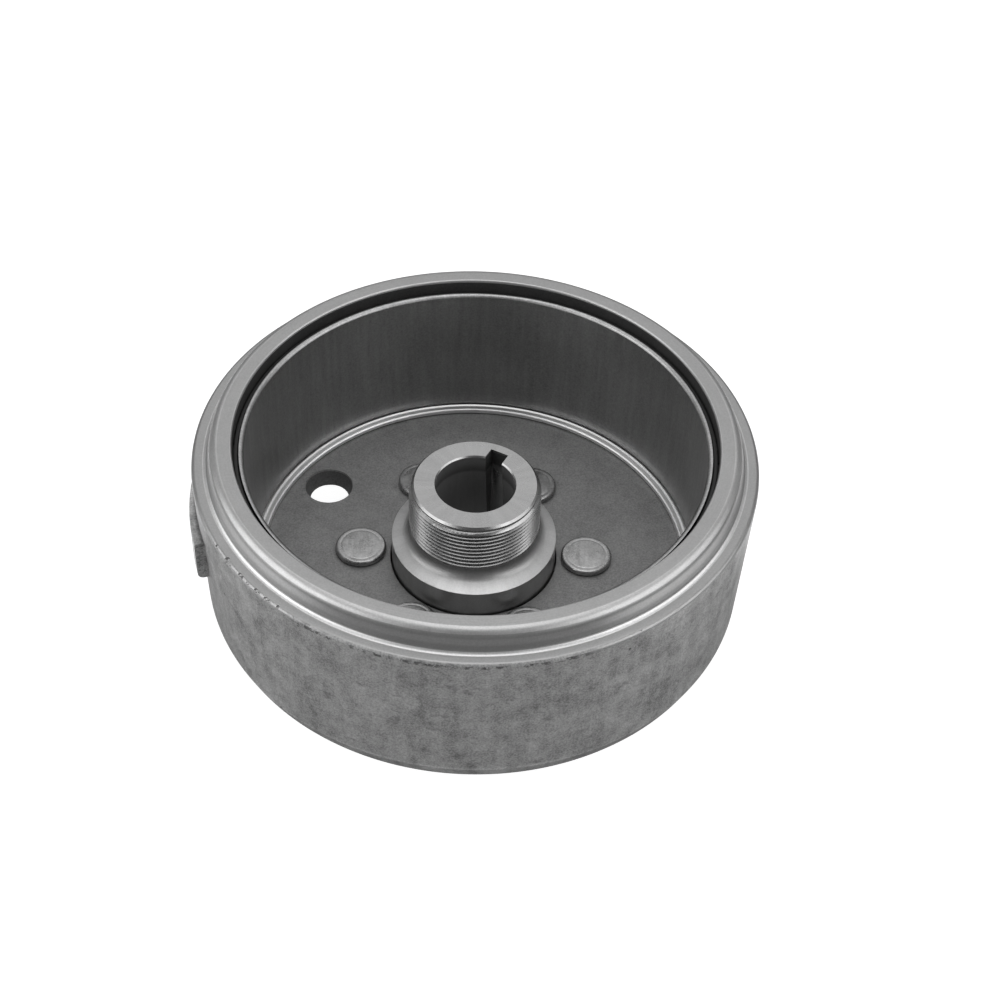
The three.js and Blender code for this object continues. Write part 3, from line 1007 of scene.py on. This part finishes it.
@dataclass
class Hub:
    """The turned hub: rear flange, collar, puller thread, tapered bore and keyway."""

    bore_radius: float = 8.0 * MM
    bore_taper: float = 0.1
    bore_chamfer: float = 0.3 * MM
    face_step: float = 0.4 * MM
    keyway_width: float = 3.9 * MM
    keyway_depth: float = 2.6 * MM
    keyway_angle: float = math.radians(64)
    thread_radius: float = 13.5 * MM
    thread_pitch: float = 1.0 * MM
    thread_depth: float = 0.61 * MM
    thread_length: float = 10.0 * MM
    crest_flat: float = 0.16 * MM
    root_flat: float = 0.2 * MM
    face_chamfer: float = 0.42 * MM
    neck_radius: float = 12.6 * MM
    neck_fillet: float = 4.2 * MM
    collar_radius: float = 17.1 * MM
    collar_edge: float = 0.12 * MM
    collar_slope: float = math.radians(20)
    relief: float = 0.42 * MM
    runout: float = 0.3 * MM
    flange_radius: float = 31.0 * MM
    flange_thickness: float = 4.5 * MM
    boss_radius: float = 17.0 * MM
    boss_height: float = 1.5 * MM
    boss_fillet: float = 0.3 * MM
    edge_break: float = 0.5 * MM
    finish: HubSteel = field(default_factory=HubSteel)

    def __post_init__(self) -> None:
        """Takes the hub's heights from the frame."""
        low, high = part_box("hub")
        self.rear = low.z
        self.face = high.z
        self.thread_top = self.face - self.face_step
        self.thread_foot = self.thread_top - self.thread_length
        self.collar_top = self.thread_foot - self.neck_fillet
        self.root_radius = self.thread_radius - self.thread_depth

    def bore_at(self, height: float) -> float:
        """The bore's radius at a height."""
        return self.bore_radius + (self.face - height) * self.bore_taper

    def outline(self) -> list[Corner]:
        """The hub's section with a plain core where the thread lies."""
        flange_top = self.rear + self.boss_height + self.flange_thickness
        boss_top = self.rear + self.boss_height
        face_edge = self.root_radius - self.face_chamfer
        slope = math.tan(self.collar_slope)
        neck_corner = self.collar_top + (self.collar_radius - self.neck_radius) * slope
        neck_round = self.thread_foot - neck_corner - 0.05 * MM
        return [
            Corner(self.bore_at(self.rear), self.rear, self.bore_chamfer, 1),
            Corner(self.boss_radius, self.rear, self.edge_break, 1),
            Corner(self.boss_radius, boss_top, self.boss_fillet, 2),
            Corner(self.flange_radius, boss_top, self.edge_break, 1),
            Corner(self.flange_radius, flange_top, self.edge_break, 1),
            Corner(self.collar_radius, flange_top),
            Corner(self.collar_radius, self.collar_top, self.collar_edge, 2),
            Corner(self.neck_radius, neck_corner, neck_round, 20),
            Corner(self.neck_radius, self.thread_foot),
            Corner(self.root_radius, self.thread_foot + self.runout),
            Corner(self.root_radius, self.thread_top),
            Corner(face_edge, self.face),
            Corner(self.bore_at(self.face), self.face, self.bore_chamfer, 1),
        ]

    def thread(self) -> bmesh.types.BMesh:
        """The helical thread, cut to the length and chamfer of its seat.

        Returns:
            A closed bmesh that overlaps the hub's core.
        """
        half_base = (self.thread_pitch - self.root_flat) / 2
        half_crest = self.crest_flat / 2
        sunk = 0.3 * MM  # how far the ridge reaches into the core
        start = self.thread_foot - self.thread_pitch
        ridge = outline_face(
            [
                Corner(self.root_radius - sunk, start - half_base),
                Corner(self.root_radius, start - half_base),
                Corner(self.thread_radius, start - half_crest),
                Corner(self.thread_radius, start + half_crest),
                Corner(self.root_radius, start + half_base),
                Corner(self.root_radius - sunk, start + half_base),
            ]
        )
        turns = round(self.thread_length / self.thread_pitch) + 2
        steps = Fineness.MEDIUM.value // 2
        bmesh.ops.rotate(ridge, verts=ridge.verts[:], matrix=Matrix.Rotation(-math.pi / 2, 3, "Z"))
        bmesh.ops.spin(
            ridge,
            geom=ridge.verts[:] + ridge.edges[:] + ridge.faces[:],
            cent=(0, 0, 0),
            axis=(0, 0, 1),
            dvec=(0, 0, self.thread_pitch / steps),
            angle=FULL_TURN * turns,
            steps=steps * turns,
        )
        closed(ridge)
        beyond = self.thread_radius + MM
        core = self.root_radius - 0.05 * MM
        lead = 0.2 * MM
        last = self.thread_top - self.relief
        seat = turned(
            [
                Corner(0, self.thread_foot - lead),
                Corner(core, self.thread_foot - lead),
                Corner(beyond, self.thread_foot + lead),
                Corner(beyond, last - (beyond - self.root_radius)),
                Corner(core, last + 0.05 * MM),
                Corner(0, last + 0.05 * MM),
            ],
            Fineness.MEDIUM,
        )
        return combined(ridge, seat, "INTERSECT")

    def keyway(self) -> bmesh.types.BMesh:
        """The keyway's cutter, sloped like the bore."""
        over = 2 * MM
        depth = self.bore_at(self.face) + self.keyway_depth
        half = self.keyway_width / 2
        cutter = block(Vector((0, -half, self.rear - over)), Vector((depth, half, self.face + over)))
        for vert in cutter.verts:
            vert.co.x += (self.face - vert.co.z) * self.bore_taper
        turn = Matrix.Rotation(self.keyway_angle, 3, "Z")
        bmesh.ops.rotate(cutter, verts=cutter.verts[:], matrix=turn)
        return cutter

    def build(self, rivets: "Rivets") -> bpy.types.Object:
        """Builds the hub and dresses it.

        Args:
            rivets: The rivets, whose holes go through the flange.

        Returns:
            The hub.
        """
        mesh = turned(self.outline(), Fineness.MEDIUM)
        mesh = combined(mesh, self.thread(), "UNION")
        mesh = combined(mesh, self.keyway(), "DIFFERENCE")
        mesh = combined(mesh, rivets.seats(), "DIFFERENCE")
        bore = self.bore_radius + self.keyway_depth + 0.6 * MM
        finish = self.finish.material(
            self.bore_radius, bore, self.face, self.thread_foot, self.collar_radius
        )
        return piece("hub_body", mesh, finish, "hub_steel", "hub")


# ---- Rivets -----------------------------------------------------------------------------------


@dataclass
class Rivets:
    """Six rivets with low round heads on the drum's floor, closed into the flange's rear."""

    count: int = 6
    pitch_radius: float = 23.65 * MM
    head_radius: float = 5.3 * MM
    head_round: float = 0.55 * MM
    shank_radius: float = 3.2 * MM
    tail_radius: float = 4.8 * MM
    tail_depth: float = 1.6 * MM
    head_height: float = 1.5 * MM
    forming_ring: float = 4.15 * MM
    ring_depth: float = 0.03 * MM
    ring_half_width: float = 0.25 * MM
    crown: float = 0.12 * MM
    finish: RivetSteel = field(default_factory=RivetSteel)

    def __post_init__(self) -> None:
        """Takes the rivets' heights from the frame."""
        low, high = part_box("rivet_1")
        self.bottom = low.z
        self.top = high.z
        self.seat = self.top - self.head_height + FIT_GAP
        self.hole_radius = self.shank_radius + FIT_GAP

    def places(self) -> list[Vector]:
        """The rivets' axes."""
        step = FULL_TURN / self.count
        return [polar(self.pitch_radius, step * i) for i in range(self.count)]

    def clearance(self, low: float, high: float) -> bmesh.types.BMesh:
        """Round cutters for the rivets' holes between two heights."""
        cutter = turned(
            [Corner(0, low), Corner(self.hole_radius, low), Corner(self.hole_radius, high), Corner(0, high)],
            Fineness.SMALL,
        )
        return copies(cutter, self.places())

    def seats(self) -> bmesh.types.BMesh:
        """Cutters for the holes through the flange, with their countersinks."""
        mouth = self.tail_radius + FIT_GAP
        cutter = turned(
            [
                Corner(0, self.bottom - MM),
                Corner(mouth, self.bottom - MM),
                Corner(mouth, self.bottom),
                Corner(self.hole_radius, self.bottom + self.tail_depth),
                Corner(self.hole_radius, self.seat),
                Corner(0, self.seat),
            ],
            Fineness.SMALL,
        )
        return copies(cutter, self.places())

    def outline(self) -> list[Corner]:
        """A rivet's section, with a shallow forming ring on its head."""
        half = self.ring_half_width
        edge = self.top - self.crown
        ring = self.forming_ring
        return [
            Corner(0, self.bottom),
            Corner(self.tail_radius, self.bottom, 0.15 * MM, 2),
            Corner(self.shank_radius, self.bottom + self.tail_depth),
            Corner(self.shank_radius, self.seat),
            Corner(self.head_radius, self.seat, 0.1 * MM, 2),
            Corner(self.head_radius, edge, self.head_round, 6),
            Corner(ring + half, edge + 0.01 * MM, 0.1 * MM, 2),
            Corner(ring, edge - self.ring_depth, 0.1 * MM, 2),
            Corner(ring - half, edge + 0.03 * MM, 0.2 * MM, 2),
            Corner(ring / 2, self.top - 0.02 * MM, 0.5 * MM, 3),
            Corner(0, self.top),
        ]

    def build(self) -> list[bpy.types.Object]:
        """Builds and dresses each rivet."""
        finish = self.finish.material()
        made = []
        for number, place in enumerate(self.places(), start=1):
            mesh = turned(self.outline(), Fineness.SMALL)
            bmesh.ops.translate(mesh, vec=place, verts=mesh.verts[:])
            name = f"rivet_{number}"
            made.append(piece(f"{name}_body", mesh, finish, "rivet_steel", name))
        return made


# ---- Magnets, sleeve and rings ----------------------------------------------------------------


@dataclass
class MagnetPack:
    """The six magnets with their separators, the sleeve over them, and the rings at its ends."""

    count: int = 6
    pocket_radius: float = 51.3 * MM
    magnet_thickness: float = 4.4 * MM
    separator_width: float = 3.0 * MM
    sheet: float = 0.5 * MM
    lip_flare: float = 0.5 * MM
    lip_height: float = 0.5 * MM
    bead_width: float = 1.75 * MM
    bead_round: float = 0.5 * MM
    rib_width: float = 0.15 * MM
    rib_height: float = 0.2 * MM
    seat_foot: float = 0.9 * MM
    seal_chamfer: tuple[float, float] = (0.43 * MM, 0.6 * MM)  # across and down
    magnet_round: float = 0.35 * MM
    steel: SleeveSteel = field(default_factory=SleeveSteel)
    seat: SeatMetal = field(default_factory=SeatMetal)
    iron: MagnetIron = field(default_factory=MagnetIron)
    resin: DarkResin = field(default_factory=DarkResin)

    def __post_init__(self) -> None:
        """Takes the pack's heights from the frame and works out its radii."""
        low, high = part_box("magnet_1")
        self.bottom, self.top = low.z, high.z
        self.outer = self.pocket_radius - FIT_GAP
        self.inner = self.outer - self.magnet_thickness
        self.cover_outer = self.inner - FIT_GAP
        self.cover_inner = self.cover_outer - self.sheet

    def build_sleeve(self) -> bpy.types.Object:
        """Builds the sleeve with its belled mouth."""
        low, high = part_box("magnet_cover")
        bend = high.z - self.lip_height
        flare = self.lip_flare
        section = [
            Corner(self.cover_inner, low.z, 0.12 * MM, 2),
            Corner(self.cover_outer, low.z, 0.12 * MM, 2),
            Corner(self.cover_outer, bend, 0.15 * MM, 3),
            Corner(self.cover_outer + flare, high.z, 0.1 * MM, 3),
            Corner(self.cover_inner + flare, high.z, 0.3 * MM, 6),
            Corner(self.cover_inner, bend, 0.1 * MM, 3),
        ]
        mesh = turned(section, Fineness.LARGE)
        finish = self.steel.material(bend + 0.12 * MM)
        return piece("sleeve", mesh, finish, "sleeve_steel", "magnet_cover")

    def build_seat_ring(self) -> bpy.types.Object:
        """Builds the ring at the sleeve's foot, with a chamfered bead on the drum's floor."""
        low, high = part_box("seat_ring")
        outer = self.cover_inner - FIT_GAP
        inner = outer - self.bead_width
        foot = low.z + self.seat_foot
        rib = outer - self.rib_width
        band = high.z - self.rib_height
        section = [
            Corner(inner, low.z, 0.1 * MM, 1),
            Corner(self.outer, low.z, 0.1 * MM, 1),
            Corner(self.outer, foot, 0.1 * MM, 1),
            Corner(outer, foot),
            Corner(outer, high.z, 0.12 * MM, 2),
            Corner(rib, high.z, 0.05 * MM, 2),
            Corner(rib - self.rib_height * 2, band, 0.1 * MM, 3),
            Corner(inner, band, self.bead_round, 5),
        ]
        mesh = turned(section, Fineness.LARGE)
        finish = self.seat.material(inner, outer)
        return piece("seat_ring_body", mesh, finish, "seat_metal", "seat_ring")

    def build_seal(self) -> bpy.types.Object:
        """Builds the ring of resin between the sleeve's mouth and the rim."""
        low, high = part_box("resin_seal")
        inner = self.cover_outer + FIT_GAP
        outer = high.x
        across, down = self.seal_chamfer
        section = [
            Corner(inner, low.z),
            Corner(outer, low.z),
            Corner(outer, high.z, 0.1 * MM, 2),
            Corner(inner + across, high.z, 0.15 * MM, 2),
            Corner(inner, high.z - down, 0.1 * MM, 2),
        ]
        mesh = turned(section, Fineness.LARGE)
        return piece("resin_ring", mesh, self.resin.material(), "dark_resin", "resin_seal")

    def build_magnets(self) -> list[bpy.types.Object]:
        """Builds the magnets and the separators between them."""
        iron = self.iron.material()
        resin = self.resin.material()
        step = FULL_TURN / self.count
        half = math.asin((self.separator_width / 2 + FIT_GAP) / self.inner)
        section = [
            Corner(self.inner, self.bottom),
            Corner(self.outer, self.bottom),
            Corner(self.outer, self.top),
            Corner(self.inner, self.top),
        ]
        made = []
        for number in range(self.count):
            start = step * number
            magnet = swept(section, start + half, start + step - half, Fineness.MEDIUM)
            bevelled(magnet, sharp_edges(magnet), self.magnet_round)
            name = f"magnet_{number + 1}"
            made.append(piece(f"{name}_body", magnet, iron, "magnet_metal", name))
            width = self.separator_width / 2
            back = self.outer - 0.05 * MM
            bar = block(Vector((self.inner, -width, self.bottom)), Vector((back, width, self.top)))
            bevelled(bar, sharp_edges(bar), self.magnet_round)
            bmesh.ops.rotate(bar, verts=bar.verts[:], matrix=Matrix.Rotation(start, 3, "Z"))
            name = f"separator_{number + 1}"
            made.append(piece(f"{name}_body", bar, resin, "dark_resin", name))
        return made

    def build(self) -> list[bpy.types.Object]:
        """Builds the whole pack."""
        rings = [self.build_sleeve(), self.build_seat_ring(), self.build_seal()]
        return rings + self.build_magnets()


# ---- Studio -----------------------------------------------------------------------------------


class Facing(Enum):
    """Which way a panel gives its light."""

    FLYWHEEL = "flywheel"
    UP = "up"


@dataclass(frozen=True)
class Panel:
    """A soft light.

    Args:
        name: Its name.
        azimuth: Direction from the flywheel in degrees, from +X towards +Y.
        elevation: Degrees over the floor.
        distance: From the flywheel's middle.
        width: Across.
        height: Up and down, or along the radius when it lies flat.
        radiance: Brightness of its surface.
        facing: Towards the flywheel, or up for a card that lies on the floor.
    """

    name: str
    azimuth: float
    elevation: float
    distance: float
    width: float
    height: float
    radiance: float
    facing: Facing = Facing.FLYWHEEL


@dataclass
class Studio:
    """A pale floor, soft panels round the flywheel, and the camera."""

    camera_place: Vector = field(default_factory=lambda: Vector((5.10, -265.33, 290.80)) * MM)
    camera_forward: Vector = field(default_factory=lambda: Vector((0, 0.710012, -0.704196)))
    camera_right: Vector = field(default_factory=lambda: Vector((0.999125, 0.029451, 0.029694)))
    lens: float = 65.97
    sensor: float = 36.0
    floor_size: float = 4.0
    sky: float = 0.10
    floor_glow: float = 0.92
    card_height: float = 2.0 * MM
    aim: Vector = field(default_factory=lambda: Vector((0, 0, 25)) * MM)
    panels: tuple[Panel, ...] = (
        Panel("overhead", 90, 84, 0.70, 0.60, 0.60, 1.4),
        Panel("back_top", 90, 41, 0.75, 1.00, 0.45, 0.70),
        Panel("right_box", 352, 34, 0.70, 0.60, 0.55, 1.5),
        Panel("left_box", 188, 28, 0.70, 0.60, 0.62, 1.75),
        Panel("right_front", 318, 30, 0.72, 0.30, 0.45, 1.2),
        Panel("left_front", 222, 34, 0.72, 0.30, 0.40, 1.1),
        Panel("left_card", 195, 0, 0.150, 0.120, 0.100, 1.0, Facing.UP),
        Panel("right_card", 341, 0, 0.150, 0.120, 0.100, 1.0, Facing.UP),
        Panel("back_left_card", 148, 0, 0.105, 0.090, 0.080, 1.4, Facing.UP),
        Panel("back_right_card", 32, 0, 0.105, 0.090, 0.080, 1.35, Facing.UP),
    )

    def build_floor(self) -> None:
        """Makes the pale floor."""
        mesh = bmesh.new()
        bmesh.ops.create_grid(mesh, x_segments=1, y_segments=1, size=self.floor_size / 2)
        data = bpy.data.meshes.new("floor")
        mesh.to_mesh(data)
        mesh.free()
        floor = bpy.data.objects.new("floor", data)
        bpy.context.scene.collection.objects.link(floor)
        s = Shader("pale_floor")
        paint = s.finish(
            Base_Color=(0.35, 0.35, 0.35, 1),
            Roughness=0.9,
            Emission_Color=(1, 1, 1, 1),
            Emission_Strength=self.floor_glow,
        )
        data.materials.append(paint)
        floor.visible_glossy = False

    def build_sky(self) -> None:
        """Sets a dim even surround."""
        world = bpy.data.worlds.new("studio")
        world.use_nodes = True
        background = world.node_tree.nodes["Background"]
        background.inputs["Color"].default_value = (1, 1, 1, 1)
        background.inputs["Strength"].default_value = self.sky
        bpy.context.scene.world = world

    def build_panels(self) -> None:
        """Hangs the panels, each facing the flywheel, or lying flat and facing up for a card."""
        for panel in self.panels:
            light = bpy.data.lights.new(panel.name, "AREA")
            light.shape = "RECTANGLE"
            light.size = panel.width
            light.size_y = panel.height
            light.energy = panel.radiance * math.pi * panel.width * panel.height
            item = bpy.data.objects.new(panel.name, light)
            turn = math.radians(panel.azimuth)
            lift = math.radians(panel.elevation)
            flat = panel.distance * math.cos(lift)
            height = panel.distance * math.sin(lift)
            item.location = self.aim + polar(flat, turn) + Vector((0, 0, height))
            if panel.facing is Facing.UP:
                item.location.z = self.card_height
                item.rotation_euler = (math.pi, 0, turn - math.pi / 2)
            else:
                away = item.location - self.aim
                item.rotation_euler = away.to_track_quat("Z", "Y").to_euler()
            item.visible_camera = False
            bpy.context.scene.collection.objects.link(item)

    def build_camera(self) -> None:
        """Sets the camera."""
        camera = bpy.data.cameras.new("camera")
        camera.lens = self.lens
        camera.sensor_width = self.sensor
        camera.clip_start = 0.01
        item = bpy.data.objects.new("camera", camera)
        back = -self.camera_forward.normalized()
        right = self.camera_right.normalized()
        up = back.cross(right)
        turn = Matrix((right, up, back)).transposed().to_4x4()
        item.matrix_world = Matrix.Translation(self.camera_place) @ turn
        bpy.context.scene.collection.objects.link(item)
        bpy.context.scene.camera = item

    def build(self) -> None:
        """Builds the studio."""
        self.build_floor()
        self.build_sky()
        self.build_panels()
        self.build_camera()
        bpy.context.scene.view_settings.view_transform = "Standard"


def main() -> None:
    """Builds the flywheel and the studio."""
    logging.basicConfig(level=logging.INFO, format="%(name)s: %(message)s", stream=sys.stdout)
    rivets = Rivets()
    Drum().build(rivets)
    Hub().build(rivets)
    rivets.build()
    MagnetPack().build()
    Studio().build()


if __name__ == "__main__":
    main()
